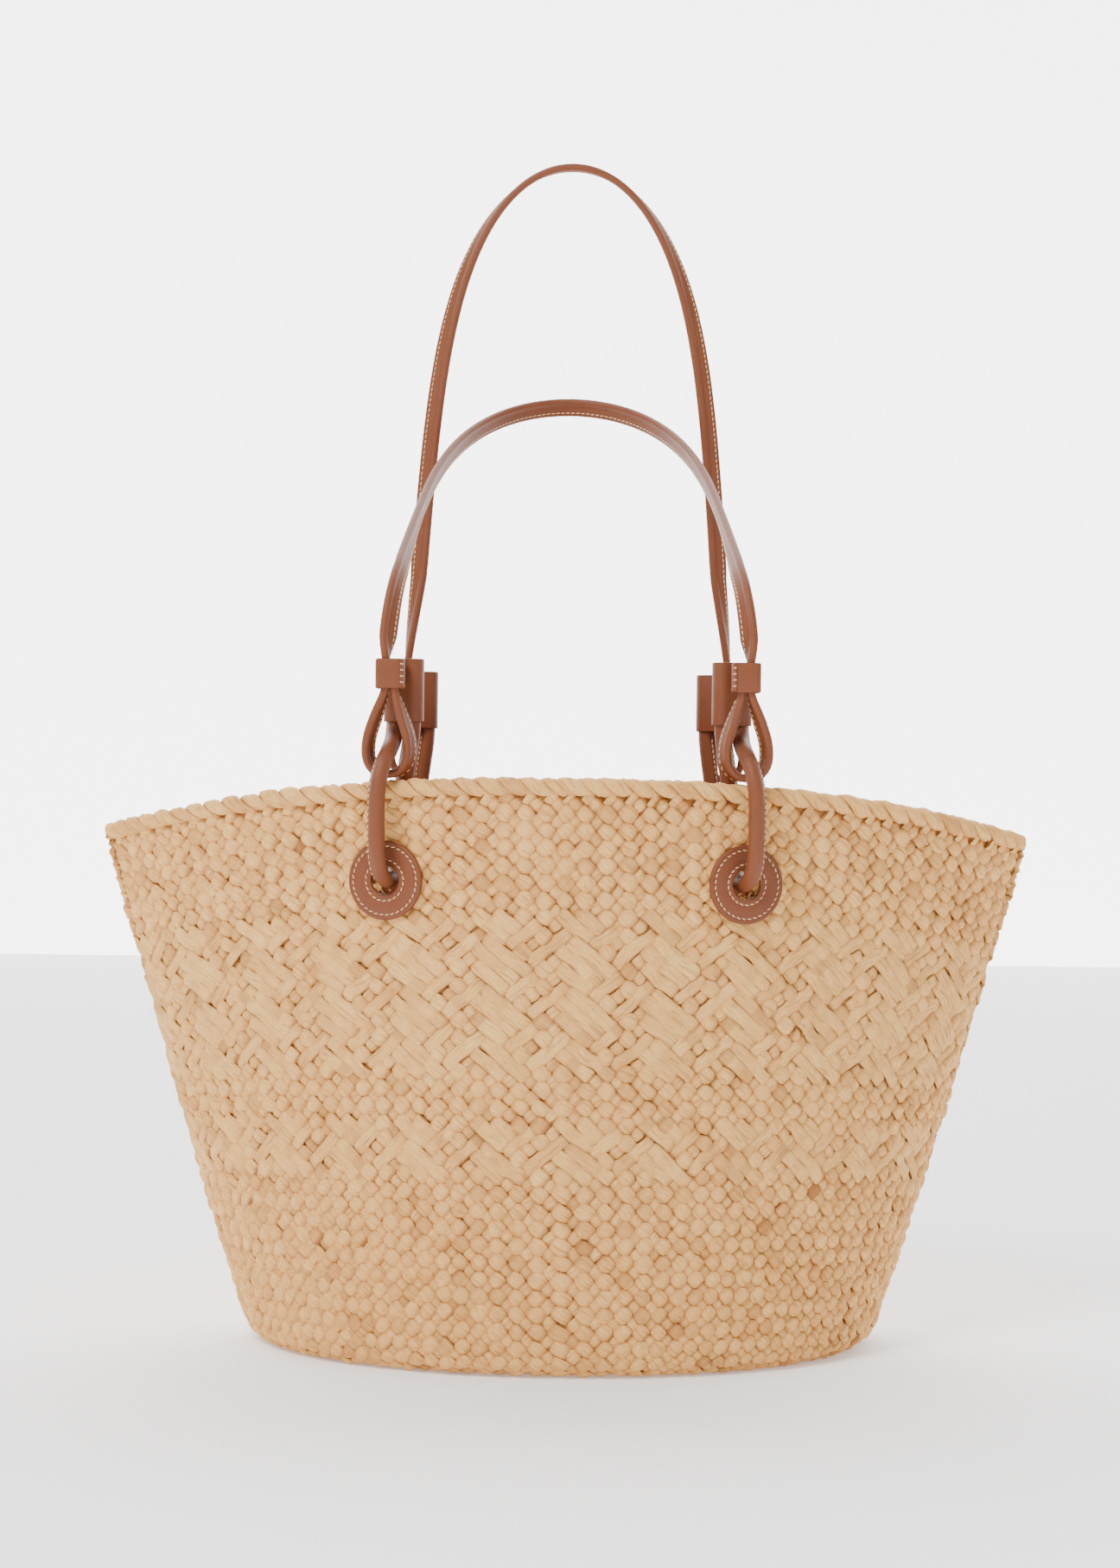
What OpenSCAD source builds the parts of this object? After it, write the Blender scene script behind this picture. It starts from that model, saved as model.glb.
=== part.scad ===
// Plaited raffia basket bag with two leather shoulder straps on looped leather fixings.
// Millimetres. X runs along the mouth, the front faces -Y, and the bag stands on z = 0.

/* [Basket] */
// Width of the wall across the pointed corners of the mouth
mouth_w = 498; // [400:2:600]
// Front to back of the wall at the middle of the mouth
mouth_d = 240; // [200:2:290]
// Width of the foot, before its rounded edge
foot_w = 330; // [275:2:396]
// Front to back of the foot, before its rounded edge
foot_d = 224; // [186:2:270]
// Height of the rim at the middle of each side
rim_h = 300; // [250:2:360]
// How much lower the rim runs at the two corners
corner_drop = 27; // [0:1:40]
// Thickness of the plaited wall and base
weave_t = 6; // [5:0.5:7.2]
// Radius of the edge between wall and base
foot_r = 12; // [8:1:16]
// Height of the twisted edging along the rim
edging_h = 9; // [7.5:0.5:10.8]

/* [Fixings] */
// Distance of each fixing from the middle of the bag
fixing_x = 89.5; // [75:0.5:107]
// Drop from the rim down to the hole of each fixing
hole_drop = 50; // [45:1:60]
// Diameter of the hole through patch, wall and backing
hole_d = 15; // [13:0.5:18]
// Diameter of the round leather patches
patch_d = 40; // [34:1:48]
// Thickness of a patch
patch_t = 2; // [1.6:0.1:2.4]
// Diameter of the tubular link that loops over the rim
link_d = 8.6; // [7.2:0.1:8.8]
// Length of the sleeve that holds both ends of a link
sleeve_h = 32; // [27:1:38]

/* [Straps] */
// Height of the strap's arch above the top of the keepers
arch_h = 290; // [242:2:348]
// Width of the strap, bead and stitched flange together
strap_w = 10.5; // [9:0.5:10.5]
// Diameter of the strap's padded bead
bead_d = 4.2; // [3.6:0.1:4.2]
// Diameter of the cord inside the bead
core_d = 2.4; // [2:0.1:2.6]
// Height of the teardrop loop from its foot to the keeper's top
loop_h = 60; // [56:1:68]
// Height of the keeper band
keeper_h = 15; // [12:0.5:18]
// How far the front strap leans back, in degrees
lean = 62; // [0:1:70]
// Height above the keepers at which a strap bends over
bend_rise = 34; // [28:1:42]
// Twist of the strap along its legs, in degrees
leg_twist = 65; // [0:1:80]

/* [Hidden] */

raffia = "burlywood";
leather = "sienna";
cotton = "ivory";
thread = "navajowhite";

around = 48;              // points of one ring of the basket
clear = 0.3;              // gap between parts that move past each other
corner_share = 1.35;      // how much faster an inset moves the pointed corners in
foot_levels = [0, 2, 5, foot_r];
wall_levels = [0.2, 0.35, 0.5, 0.65, 0.8, 0.9, 1];
inner_foot = foot_r + 4;  // inset of the base plate from the full foot
nudge = 1e-4;             // keeps a ring's first point just off the X axis

// ---- Basket surface ----
function rim_z(a) = rim_h - corner_drop * pow(abs(cos(a)), 3);
function grow(low, high, t) = low + (high - low) * pow(t, 0.9);
function foot_inset(z) = z >= foot_r ? 0 : foot_r - sqrt(pow(foot_r, 2) - pow(foot_r - z, 2));
function half_width(t) = grow(foot_w, mouth_w, t) / 2;
function half_depth(t) = grow(foot_d, mouth_d, t) / 2;

// A point at angle a and height z, moved in from the outer surface by `inset`.
// The ring is an ellipse at the foot and ever more pointed at its corners towards the rim.
function skin(a, z, inset, foot = 0) =
    let (t = z / rim_z(a), edge = foot + inset)
    [sign(cos(a)) * (half_width(t) - foot - inset * corner_share) * pow(abs(cos(a)), 1 + 0.25 * t),
     sign(sin(a)) * (half_depth(t) - edge) * pow(abs(sin(a)), 1 + 0.8 * t),
     z];
function wall_top(a) = rim_z(a) - edging_h;
function angles() = [for (i = [0 : around - 1]) (i + nudge) * 360 / around];
function outer_ring(z) = [for (a = angles()) skin(a, z, 0, foot_inset(z))];
function outer_share(k) = [for (a = angles()) skin(a, k * wall_top(a), 0)];
function inner_share(k) = [for (a = angles()) skin(a, k * wall_top(a), weave_t)];
function base_ring(z) = [for (a = angles()) skin(a, z, 0, inner_foot)];

// ---- Where a fixing meets the rim, worked out on the back right and mirrored from there ----
fix_a = acos(pow(fixing_x / (half_width(1) - weave_t / 2 * corner_share), 1 / 1.25));
fix_y = skin(fix_a, rim_z(fix_a), weave_t / 2).y;
crown_z = rim_z(fix_a);
fix_run = skin(fix_a - 2, crown_z, 3) - skin(fix_a + 2, crown_z, 3);
fix_yaw = atan2(-fix_run.y, fix_run.x);
hole_z = crown_z - hole_drop;
seat = weave_t / 2 - 0.8; // depth of the flat seat of a patch, from the middle of the wall

loop_foot = crown_z + 1.3;
keeper_top = loop_foot + loop_h;
hinge_z = keeper_top + bend_rise;
leg_x = bead_d / 2 + clear / 2;       // the two legs of a loop lie side by side in the keeper
strap_half = fixing_x - leg_x;        // a strap starts beside its loop's longer leg
link_r = link_d / 2;

// ---- Sweeping a section along a path ----
function unit(v) = v / norm(v);
function heading(path, i) = unit(path[min(i + 1, len(path) - 1)] - path[max(i - 1, 0)]);
// The section at point i: its x lies along `across`, squared up to the path, then turned by `twist`
function ring(path, i, across, section, twist = 0) =
    let (t = heading(path, i),
         u0 = unit(across - (across * t) * t),
         w0 = cross(t, u0),
         u = cos(twist) * u0 + sin(twist) * w0,
         w = cross(t, u))
    [for (p = section) path[i] + p.x * u + p.y * w];
function round_section(d, sides) = [for (i = [0 : sides - 1]) d / 2 * [cos(i * 360 / sides), sin(i * 360 / sides)]];
// Smooth curve through a list of points
function spline_at(p, i, s) =
    let (a = p[max(i - 1, 0)], b = p[i], c = p[i + 1], d = p[min(i + 2, len(p) - 1)])
    0.5 * (2 * b + (c - a) * s + (2 * a - 5 * b + 4 * c - d) * s * s + (3 * b - a - 3 * c + d) * s * s * s);
function spline(p, steps) =
    [for (i = [0 : len(p) - 2], k = [0 : steps - 1]) spline_at(p, i, k / steps), p[len(p) - 1]];

// A solid from rings of points. With `wrap` the last ring joins the first; otherwise both ends are capped.
module skinned(rings, wrap = false) {
    n = len(rings[0]);
    m = len(rings);
    sides = [for (r = [0 : m - (wrap ? 1 : 2)], i = [0 : n - 1])
        let (s = (r + 1) % m, j = (i + 1) % n)
        each [[r * n + i, s * n + i, s * n + j], [r * n + i, s * n + j, r * n + j]]];
    caps = wrap ? [] : [[for (i = [0 : n - 1]) i], [for (i = [n - 1 : -1 : 0]) (m - 1) * n + i]];
    polyhedron(points = [for (r = rings) each r], faces = concat(sides, caps), convexity = 8);
}

// ---- Placing the four fixings ----
module mirrored(side, face) {
    mirror([side < 0 ? 1 : 0, 0, 0])
        mirror([0, face < 0 ? 1 : 0, 0])
            children();
}
// Frame of a fixing's wall: x along the wall, y out of the bag, z up from the ground
module at_wall(side, face) {
    mirrored(side, face)
        translate([fixing_x, fix_y, 0])
            rotate([0, 0, -fix_yaw])
                children();
}
// Frame of a fixing's loop: upright on the rim, x and y along the axes of the bag
module at_loop(side, face) {
    mirrored(side, face)
        translate([fixing_x, fix_y, loop_foot])
            children();
}
module each_fixing() {
    for (side = [-1, 1], face = [-1, 1])
        at_wall(side, face)
            children();
}

// ---- Basket ----
module woven_wall() {
    outer = concat([for (z = foot_levels) outer_ring(z)], [for (k = wall_levels) outer_share(k)]);
    inner = concat([for (i = [len(wall_levels) - 1 : -1 : 0]) inner_share(wall_levels[i])],
        [[for (a = angles()) skin(a, weave_t + 6, weave_t, 0)], base_ring(weave_t), base_ring(0)]);
    color(raffia)
        difference() {
            skinned(concat(outer, inner), wrap = true);
            each_fixing()
                translate([0, 0, hole_z])
                    rotate([90, 0, 0]) {
                        cylinder(d = hole_d, h = 4 * weave_t, center = true, $fn = 48);
                        for (flip = [0, 180])
                            rotate([flip, 0, 0])
                                translate([0, 0, seat])
                                    cylinder(d = patch_d + clear, h = 2 * weave_t, $fn = 48);
                    }
        }
}
module woven_base() {
    color(raffia)
        linear_extrude(weave_t)
            polygon([for (p = base_ring(0)) [p.x, p.y]]);
}
module rim_braid() {
    half = weave_t / 2;
    section = [[0, 1], [half + 0.2, 0.88], [half + 1.7, 0.5], [half + 1, 0.18], [half, 0],
        [-half, 0], [-half - 1, 0.18], [-half - 1.7, 0.5], [-half - 0.2, 0.88]];
    color(raffia)
        skinned([for (a = angles())
            [for (p = section) skin(a, wall_top(a) + p.y * edging_h, half - p.x)]], wrap = true);
}

// ---- Patches ----
module patch_disc() {
    difference() {
        cylinder(d = patch_d, h = patch_t, $fn = 64);
        translate([0, 0, -1])
            cylinder(d = hole_d, h = patch_t + 2, $fn = 48);
    }
}
module patch(side, face) {
    color(leather)
        at_wall(side, face)
            translate([0, seat, hole_z])
                rotate([-90, 0, 0])
                    patch_disc();
}
module backing(side, face) {
    color(leather)
        at_wall(side, face)
            translate([0, -seat, hole_z])
                rotate([90, 0, 0])
                    patch_disc();
}
module patch_thread() {
    stitch = 0.8;
    color(thread)
        each_fixing()
            translate([0, seat + patch_t, hole_z])
                rotate([-90, 0, 0])
                    for (d = [hole_d + 7, patch_d - 4])
                        rotate_extrude($fn = 64)
                            translate([d / 2, 0])
                                square([stitch, stitch / 2]);
}

// ---- Links: from the sleeve over the rim, down, through the hole and back up inside ----
link_route = [[4.6, -17, 52], [4.6, -17, 40], [4.6, -17, 31], [3.2, -12.5, 22.5], [1, -5, 18.5], [-0.8, 3, 14.5],
    [-1.2, 11, 7.5], [-0.4, 15, -4], [0, 15, -20], [0, 14, -36], [0, 9.5, -46], [0, 0, -hole_drop], [0, -9.5, -46],
    [0, -14, -36], [-0.5, -14.5, -20], [-2, -15, 0], [-4.6, -17, 24], [-4.6, -17, 40], [-4.6, -17, 52]];
function link_rings(d) =
    let (path = spline([for (p = link_route) p + [0, 0, crown_z]], 3))
    [for (i = [0 : len(path) - 1]) ring(path, i, [1, 0, 0], round_section(d, 8))];
module link(side, face) {
    color(leather)
        at_wall(side, face)
            difference() {
                skinned(link_rings(link_d));
                skinned(link_rings(link_d / 2));
            }
}
module link_core(side, face) {
    color(cotton)
        at_wall(side, face)
            skinned(link_rings(link_d / 2 - 0.3));
}
module stadium(w, d) {
    square([w - d, d], center = true);
    for (x = [-1, 1])
        translate([x * (w - d) / 2, 0])
            circle(d = d, $fn = 32);
}
module sleeve(side, face) {
    inner_w = link_d * 2 + 1.2;
    inner_d = link_d + 0.5;
    color(leather)
        at_wall(side, face)
            translate([0, -17, crown_z + 30])
                linear_extrude(sleeve_h)
                    difference() {
                        stadium(inner_w + 2.6, inner_d + 2.6);
                        stadium(inner_w, inner_d);
                    }
}

// ---- Straps: a bead and a stitched flange ----
bead_x = strap_w / 2 - bead_d / 2;
strap_section = [[strap_w / 2, -bead_d / 5], [strap_w / 2, bead_d / 5], [bead_x + bead_d / 4, bead_d / 2],
    [bead_x - bead_d / 4, bead_d / 2], [bead_x - bead_d * 0.55, bead_d / 3], [-strap_w / 2, bead_d / 3],
    [-strap_w / 2, -bead_d / 3], [bead_x - bead_d * 0.55, -bead_d / 3],
    [bead_x - bead_d / 4, -bead_d / 2], [bead_x + bead_d / 4, -bead_d / 2]];

// Teardrop loop: from the keeper down its inner leg, round the foot, and up the outer leg, which rises
// past the keeper to the line on which the strap bends over. Every bead faces the front of the bag.
loop_leg = [[leg_x, loop_h - 1], [leg_x, loop_h - keeper_h], [6, loop_h - 27], [10, loop_h - 40], [10, 9.5], [5.6, 3.2]];
function loop_path() =
    spline(concat([for (p = loop_leg) [-p.x, 0, p.y]], [[0, 0, bead_d / 2]],
        [for (i = [len(loop_leg) - 1 : -1 : 1]) [loop_leg[i].x, 0, loop_leg[i].y]]), 2);
module strap_loop(side, face) {
    path = loop_path();
    across = [0, -face, 0];
    top = [leg_x, 0, loop_h + bend_rise];
    color(leather)
        at_loop(side, face)
            skinned(concat([for (i = [0 : len(path) - 1]) ring(path, i, across, strap_section)],
                [for (v = end_turns) end_ring(top, [0, 0, 1], across, strap_section, v, 1)]));
}
module keeper(side, face) {
    inner_w = 2 * bead_d + 1;
    inner_d = strap_w + 0.5;
    color(leather)
        at_loop(side, face)
            translate([0, 0, loop_h - keeper_h])
                linear_extrude(keeper_h)
                    difference() {
                        offset(r = 1.6, $fn = 24)
                            square([inner_w + 2, inner_d + 0.2], center = true);
                        square([inner_w, inner_d], center = true);
                    }
}

// Arch of a strap, as [across, up] from the top of the keepers
arch_steps = 22;
arch_draw = 20;           // how far each leg draws in over the height of the arch
function arch_point(f) =
    let (v = 90 * f, up = pow(sin(v), 0.571))
    [(strap_half + arch_draw * (bend_rise / arch_h - up)) * pow(cos(v), 0.667), arch_h * up];
arch_half = [for (i = [1 : arch_steps - 1]) arch_point(pow(i / arch_steps, 1.75)), [0, arch_h]];
arch_side = concat([[strap_half, bend_rise]], [for (p = arch_half) if (p.y > bend_rise + 6) p]);
arch = concat([for (p = arch_side) [-p.x, p.y]], [for (i = [len(arch_side) - 2 : -1 : 0]) arch_side[i]]);

// A point of the arch in space: the front strap's plane leans back, the back strap's is upright
function strap_point(p, leans) =
    let (a = leans ? lean : 0, up = p.y - bend_rise)
    [p.x, (leans ? -fix_y : fix_y) + up * sin(a), hinge_z + up * cos(a)];
// The twist grows above the keepers and dies away again towards the top
function twist_at(u) =
    let (f = (u - bend_rise) / (arch_h - bend_rise))
    leg_twist * min(1, f / 0.25) * (1 - pow(f, 4));
// Both ends of a strap, and the tops of the loops' legs, are rounded about the line the strap swings on.
// `side` is 1 at the last end of a path and -1 at its first; `v` turns from the last full ring to the tip.
end_turns = [0, 28, 55, 78];
function end_ring(p, along, across, section, v, side) =
    [for (q = section)
        p + cos(v) * q.x * across + q.y * cross(along, across) + side * sin(v) * strap_w / 2 * along];
function strap_rings(section, leans, turns) =
    let (path = [for (p = arch) strap_point(p, leans)],
         last = len(path) - 1,
         a = leans ? lean : 0,
         up = [0, sin(a), cos(a)],
         across = [0, -cos(a), sin(a)])
    concat([for (i = [len(turns) - 1 : -1 : 0]) end_ring(path[0], up, across, section, turns[i], -1)],
        [for (i = [1 : last - 1]) ring(path, i, across, section, twist_at(arch[i].y))],
        [for (v = turns) end_ring(path[last], -up, across, section, v, 1)]);
module strap(leans) {
    color(leather)
        difference() {
            skinned(strap_rings(strap_section, leans, end_turns));
            skinned(strap_rings(core_section(core_d + 0.3), leans, [0]));
        }
}
module strap_core(leans) {
    color(cotton)
        skinned(strap_rings(core_section(core_d), leans, [0]));
}
function core_section(d) = [for (p = round_section(d, 6)) p + [bead_x, 0]];

module placed(part, side, face) {
    if (part == "patch") patch(side, face);
    if (part == "backing") backing(side, face);
    if (part == "link") link(side, face);
    if (part == "link_core") link_core(side, face);
    if (part == "sleeve") sleeve(side, face);
    if (part == "loop") strap_loop(side, face);
    if (part == "keeper") keeper(side, face);
}

woven_wall();
woven_base();
rim_braid();
patch_thread();
for (part = ["patch", "backing", "link", "link_core", "sleeve", "loop", "keeper"],
     face = [["front", -1], ["back", 1]], side = [["left", -1], ["right", 1]])
    placed(part, side[1], face[1]);
strap(leans = true);  // strap_front
strap(leans = false);  // strap_back
strap_core(leans = true);  // strap_core_front
strap_core(leans = false);  // strap_core_back
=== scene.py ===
import math

import bmesh
import bpy
import numpy as np
from mathutils import Matrix, Vector


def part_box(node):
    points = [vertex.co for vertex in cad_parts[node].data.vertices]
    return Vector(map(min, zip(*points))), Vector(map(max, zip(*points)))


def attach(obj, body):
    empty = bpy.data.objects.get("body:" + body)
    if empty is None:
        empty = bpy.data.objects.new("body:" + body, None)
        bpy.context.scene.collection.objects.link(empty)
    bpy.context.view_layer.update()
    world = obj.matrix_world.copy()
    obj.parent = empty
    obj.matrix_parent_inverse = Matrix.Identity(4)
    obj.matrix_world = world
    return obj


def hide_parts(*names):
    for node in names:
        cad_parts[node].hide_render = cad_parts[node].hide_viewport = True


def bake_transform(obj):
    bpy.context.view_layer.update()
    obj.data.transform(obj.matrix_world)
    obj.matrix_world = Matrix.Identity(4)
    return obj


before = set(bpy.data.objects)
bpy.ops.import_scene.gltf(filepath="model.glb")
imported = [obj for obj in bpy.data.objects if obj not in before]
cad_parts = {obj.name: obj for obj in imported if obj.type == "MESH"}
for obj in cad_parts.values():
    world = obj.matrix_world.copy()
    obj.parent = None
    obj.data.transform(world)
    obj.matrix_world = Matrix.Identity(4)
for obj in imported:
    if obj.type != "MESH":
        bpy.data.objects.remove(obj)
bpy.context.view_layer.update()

bl_info = {
    "name": "Raffia Basket Bag",
    "version": (1, 0, 0),
    "blender": (4, 5, 0),
    "location": "View3D > Sidebar > Basket Bag",
    "description": "Plaits a raffia basket bag and makes its leather straps and fixings around the frame",
    "category": "Add Mesh",
}

MM = 0.001
FACES = {"front": -1, "back": 1}
SIDES = {"left": -1, "right": 1}

# Sizes that the frame gives
RIM_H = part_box("rim_braid")[1].z
BASE_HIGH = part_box("woven_base")[1]
WEAVE_T = BASE_HIGH.z

# Section of a strand: places across its width, as shares of it. The last two lie underneath.
LATERAL = np.array([-0.5, -0.38, -0.14, 0.14, 0.38, 0.5, 0.27, -0.27])
WALL_CROWN = np.array([0.0, 0.33, 0.52, 0.52, 0.33, 0.0, -0.45, -0.45])
BASE_CROWN = np.array([0.0, 0.33, 0.5, 0.5, 0.33, 0.0, -0.45, -0.45])
SECTION_U = np.array([0, 0.15, 0.38, 0.62, 0.85, 1.0, 1.3, 1.7])


def middle(node):
    """Middle of a node's box."""
    low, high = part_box(node)
    return (low + high) / 2


# ---------------------------------------------------------------- sizes and colours a user may change
class BagSizes(bpy.types.PropertyGroup):
    corner_drop: bpy.props.FloatProperty(
        name="Corner drop", description="How much lower the rim runs at the corners",
        default=0.027, unit="LENGTH")
    foot_radius: bpy.props.FloatProperty(
        name="Foot radius", description="Radius of the edge between wall and base",
        default=0.012, unit="LENGTH")
    edging_height: bpy.props.FloatProperty(
        name="Edging height", description="Height of the twisted edging on the rim",
        default=0.009, unit="LENGTH")
    strand_pairs: bpy.props.IntProperty(
        name="Strands", description="Strands that run each way round the basket", default=96, min=16)
    strand_rows: bpy.props.IntProperty(
        name="Rows", description="Crossings from the edging down to the base", default=70, min=8)
    strand_thickness: bpy.props.FloatProperty(
        name="Strand thickness", description="Thickness of one plaited strand",
        default=0.0023, unit="LENGTH")
    strap_width: bpy.props.FloatProperty(
        name="Strap width", description="Width of a strap, bead and flange together",
        default=0.0105, unit="LENGTH")
    bead_diameter: bpy.props.FloatProperty(
        name="Bead", description="Diameter of a strap's padded bead", default=0.0042, unit="LENGTH")
    link_diameter: bpy.props.FloatProperty(
        name="Link", description="Diameter of a tubular link", default=0.0086, unit="LENGTH")
    arch_height: bpy.props.FloatProperty(
        name="Arch", description="Height of a strap's arch above its keepers", default=0.29, unit="LENGTH")
    lean: bpy.props.FloatProperty(
        name="Lean", description="How far the front strap leans back",
        default=math.radians(62), subtype="ANGLE")
    stitch_pitch: bpy.props.FloatProperty(
        name="Stitch pitch", description="Length of one stitch and the gap after it",
        default=0.003, unit="LENGTH")


class BagColours(bpy.types.PropertyGroup):
    raffia_light: bpy.props.FloatVectorProperty(
        name="Raffia, light", description="Sunlit colour of the raffia", subtype="COLOR",
        size=3, min=0, max=1, default=(0.93, 0.51, 0.155))
    # Through the deep colour, raffia_dark also gives the painted shade in the creases and under the
    # crossings.
    raffia_dark: bpy.props.FloatVectorProperty(
        name="Raffia, dark", description="Colour of the raffia's darker leaves and creases", subtype="COLOR",
        size=3, min=0, max=1, default=(0.46, 0.18, 0.04))
    leather: bpy.props.FloatVectorProperty(
        name="Leather", description="Colour of the leather", subtype="COLOR",
        size=3, min=0, max=1, default=(0.185, 0.052, 0.0175))
    leather_dark: bpy.props.FloatVectorProperty(
        name="Leather, dark", description="Colour of the leather's pores and worn edges", subtype="COLOR",
        size=3, min=0, max=1, default=(0.10, 0.030, 0.012))
    thread: bpy.props.FloatVectorProperty(
        name="Thread", description="Colour of the sewing thread", subtype="COLOR",
        size=3, min=0, max=1, default=(0.80, 0.50, 0.26))
    cotton: bpy.props.FloatVectorProperty(
        name="Cord", description="Colour of the cotton cord inside the straps", subtype="COLOR",
        size=3, min=0, max=1, default=(0.82, 0.77, 0.66))


def sizes():
    return bpy.context.scene.bag_sizes


def colours():
    return bpy.context.scene.bag_colours


# ---------------------------------------------------------------- the basket's surface
class BasketShape:
    """The wall's outer surface: an ellipse at the foot, ever more pointed at its corners towards the rim."""

    FOOT_HALF = (0.165, 0.112)
    RIM_HALF = (0.249, 0.120)
    FLARE = 0.9
    CORNER_SHARE = 1.35
    BASE_INSET = 0.004

    def __init__(self):
        s = sizes()
        self.drop, self.foot_r, self.edging = s.corner_drop, s.foot_radius, s.edging_height
        angle = np.linspace(0, 2 * math.pi, 2881)
        ring = self.skin(angle, 0.6 * self.rim_z(angle), 0)
        steps = np.linalg.norm(np.diff(ring, axis=0), axis=1)
        self.run = np.concatenate([[0], np.cumsum(steps)])
        self.run /= self.run[-1]
        self.run_angle = angle
        self.wall_run = RIM_H - self.edging - self.foot_r
        self.bend_run = self.foot_r * math.pi / 2
        self.length = self.wall_run + self.bend_run + self.BASE_INSET

    def rim_z(self, angle):
        return RIM_H - self.drop * np.abs(np.cos(angle)) ** 3

    def skin(self, angle, z, inset, foot=0.0):
        """Points at an angle and a height, moved in from the outer surface by inset."""
        t = np.clip(z / self.rim_z(angle), 0, 1.05)
        grow = np.abs(t) ** self.FLARE
        half_w = self.FOOT_HALF[0] + (self.RIM_HALF[0] - self.FOOT_HALF[0]) * grow
        half_d = self.FOOT_HALF[1] + (self.RIM_HALF[1] - self.FOOT_HALF[1]) * grow
        c, s = np.cos(angle), np.sin(angle)
        x = np.sign(c) * (half_w - foot - inset * self.CORNER_SHARE) * np.abs(c) ** (1 + 0.25 * t)
        y = np.sign(s) * (half_d - foot - inset) * np.abs(s) ** (1 + 0.8 * t)
        return np.stack([x, y, np.broadcast_to(z, x.shape)], axis=-1)

    def surface(self, around, down):
        """Points of the outer surface: around in turns, down in metres from the foot of the edging."""
        angle = np.interp(np.mod(around, 1), self.run, self.run_angle)
        top = self.rim_z(angle) - self.edging
        wall = np.clip(down / self.wall_run, 0, 1)
        bend = np.clip((down - self.wall_run) / self.bend_run, 0, 1) * math.pi / 2
        flat = np.maximum(down - self.wall_run - self.bend_run, 0)
        z = (top - (top - self.foot_r) * wall) - self.foot_r * np.sin(bend)
        z = z + np.maximum(-down, 0)
        foot = self.foot_r * (1 - np.cos(bend)) + flat
        return self.skin(angle, z, 0, foot)

    def frame(self, around, down):
        """Points, the directions around and down in metres per unit, and the outward normal."""
        e, f = 2e-4, 5e-4
        p = self.surface(around, down)
        side = (self.surface(around + e, down) - self.surface(around - e, down)) / (2 * e)
        fall = (self.surface(around, down + f) - self.surface(around, down - f)) / (2 * f)
        normal = np.cross(side, -fall)
        normal /= np.linalg.norm(normal, axis=-1, keepdims=True) + 1e-12
        return p, side, fall, normal


# ---------------------------------------------------------------- mesh helpers
def new_piece(name, points, quads, body, material, stands_for=(), uv=None, tone=None, smooth=True):
    """A mesh object from arrays of points and faces of one size, riding on a body."""
    mesh = bpy.data.meshes.new(name)
    points = np.asarray(points, np.float32).reshape(-1, 3)
    quads = np.asarray(quads, np.int32)
    count, corners = quads.shape
    a, b, c, d = (points[quads[:, i]] for i in range(4))
    if (np.cross(b - a, c - a) * a + np.cross(c - a, d - a) * a).sum() < 0:
        quads = quads[:, ::-1]
    mesh.vertices.add(len(points))
    mesh.vertices.foreach_set("co", points.ravel())
    mesh.loops.add(count * corners)
    mesh.loops.foreach_set("vertex_index", quads.ravel())
    mesh.polygons.add(count)
    mesh.polygons.foreach_set("loop_start", np.arange(0, count * corners, corners, dtype=np.int32))
    mesh.polygons.foreach_set("loop_total", np.full(count, corners, np.int32))
    mesh.update(calc_edges=True)
    mesh.validate()
    if smooth:
        mesh.polygons.foreach_set("use_smooth", np.ones(count, bool))
    if uv is not None:
        layer = mesh.uv_layers.new(name="Along")
        layer.data.foreach_set("uv", np.asarray(uv, np.float32)[quads.ravel()].ravel())
    if tone is not None:
        layer = mesh.attributes.new("Tone", "FLOAT", "POINT")
        layer.data.foreach_set("value", np.asarray(tone, np.float32))
    piece = bpy.data.objects.new(name, mesh)
    bpy.context.scene.collection.objects.link(piece)
    piece.data.materials.append(material)
    if stands_for:
        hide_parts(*stands_for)
    if body:
        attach(piece, body)
    return piece


def tube_quads(rings, sides, wrap_rings=False):
    """Faces of a tube of rings, each with the same number of points, seen from outside."""
    r = np.arange(rings if wrap_rings else rings - 1)[:, None]
    i = np.arange(sides)[None, :]
    a = r * sides + i
    b = r * sides + (i + 1) % sides
    c = ((r + 1) % rings) * sides + (i + 1) % sides
    d = ((r + 1) % rings) * sides + i
    return np.stack([a, b, c, d], axis=-1).reshape(-1, 4)


def unit(v):
    return v / (np.linalg.norm(v, axis=-1, keepdims=True) + 1e-12)


def run_of(path):
    """Length along a path up to each of its points."""
    return np.concatenate([[0], np.cumsum(np.linalg.norm(np.diff(path, axis=0), axis=1))])


def curve(points, steps=8):
    """Smooth curve through a list of points."""
    p = np.asarray(points, float)
    p = np.vstack([2 * p[0] - p[1], p, 2 * p[-1] - p[-2]])
    s = np.linspace(0, 1, steps, endpoint=False)[:, None]
    parts = [0.5 * (2 * b + (c - a) * s + (2 * a - 5 * b + 4 * c - d) * s ** 2
                    + (3 * b - a - 3 * c + d) * s ** 3)
             for a, b, c, d in zip(p, p[1:], p[2:], p[3:])]
    return np.vstack(parts + [p[-2:-1]])


def even_steps(path, step):
    run = run_of(path)
    at = np.linspace(0, run[-1], max(2, int(round(run[-1] / step))) + 1)
    return np.stack([np.interp(at, run, path[:, i]) for i in range(path.shape[1])], -1)


def mirrored_section(upper):
    """A closed section, in metres, from its upper half in millimetres."""
    upper = np.asarray(upper, float)
    return np.vstack([upper, (upper * [1, -1])[::-1]]) * MM


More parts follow.
